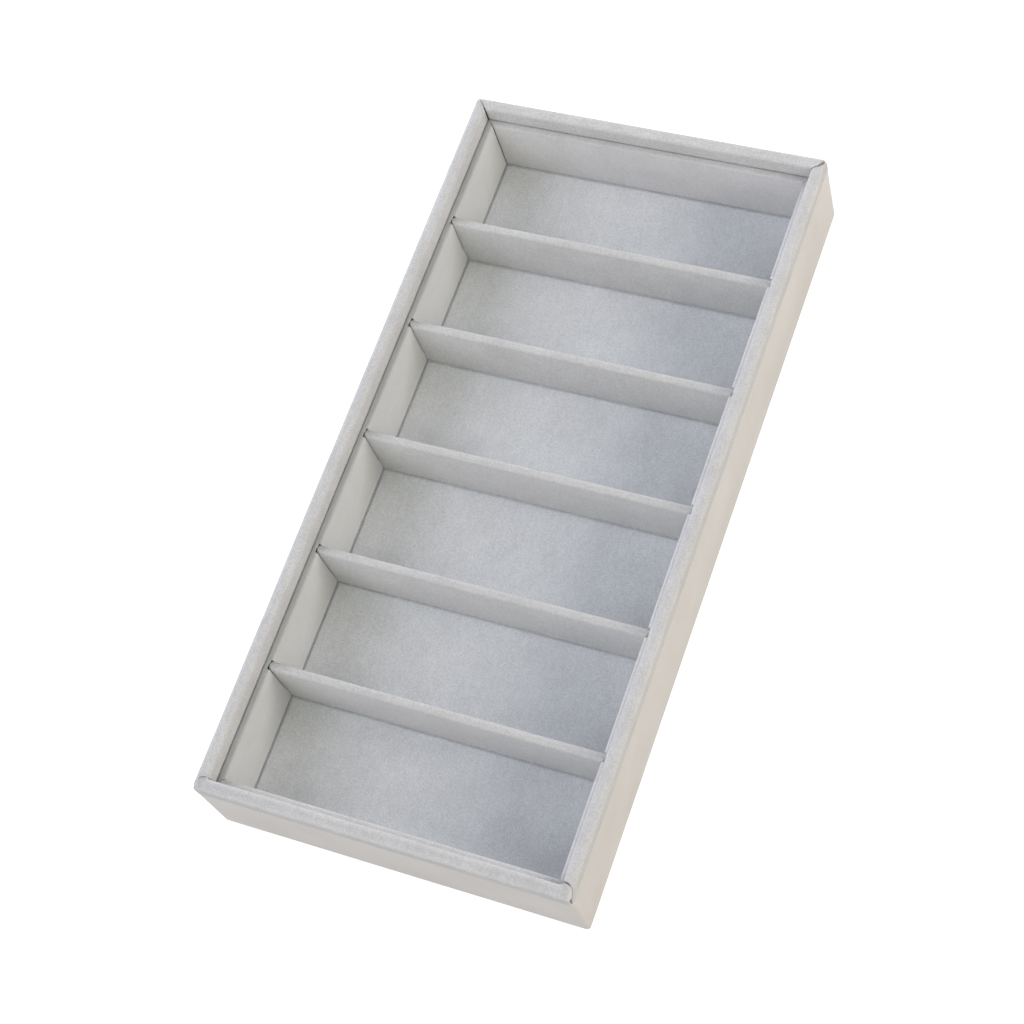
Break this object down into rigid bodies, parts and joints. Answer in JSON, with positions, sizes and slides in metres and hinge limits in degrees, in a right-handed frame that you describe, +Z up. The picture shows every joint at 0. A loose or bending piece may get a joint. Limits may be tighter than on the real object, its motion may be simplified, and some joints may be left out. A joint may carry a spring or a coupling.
{
  "type": "glasses organizer tray",
  "caption": "Open rectangular covered-board tray, lined with grey velvet and split by upright velvet dividers into a row of compartments for spectacles.",
  "frame": {"origin": "on the underside, in the middle of the tray", "axes": "+X to the right across the width, +Y along the length from the front wall to the back wall, +Z up out of the compartments"},
  "size_m": [0.18, 0.372, 0.0478],
  "materials": {
    "velvet": "short-pile grey velvet, matte with a soft grain",
    "leatherette": "smooth warm light grey coated cover, satin",
    "greyboard": "raw pressed greyboard, matte",
    "backing_paper": "uncoated grey paper, matte"
  },
  "bodies": {
    "root": {"base_board": "greyboard", "front_wall_board": "greyboard", "back_wall_board": "greyboard", "left_wall_board": "greyboard", "right_wall_board": "greyboard", "outer_cover": "leatherette", "underside_sheet": "backing_paper", "front_rim_velvet": "velvet", "back_rim_velvet": "velvet", "left_rim_velvet": "velvet", "right_rim_velvet": "velvet", "floor_velvet": "velvet", "front_liner_card": "greyboard", "back_liner_card": "greyboard", "left_liner_card": "greyboard", "right_liner_card": "greyboard", "front_liner_velvet": "velvet", "back_liner_velvet": "velvet", "left_liner_velvet": "velvet", "right_liner_velvet": "velvet", "divider_card_1": "greyboard", "divider_card_2": "greyboard", "divider_card_3": "greyboard", "divider_card_4": "greyboard", "divider_card_5": "greyboard", "divider_velvet_1": "velvet", "divider_velvet_2": "velvet", "divider_velvet_3": "velvet", "divider_velvet_4": "velvet", "divider_velvet_5": "velvet"}
  },
  "joints": []
}
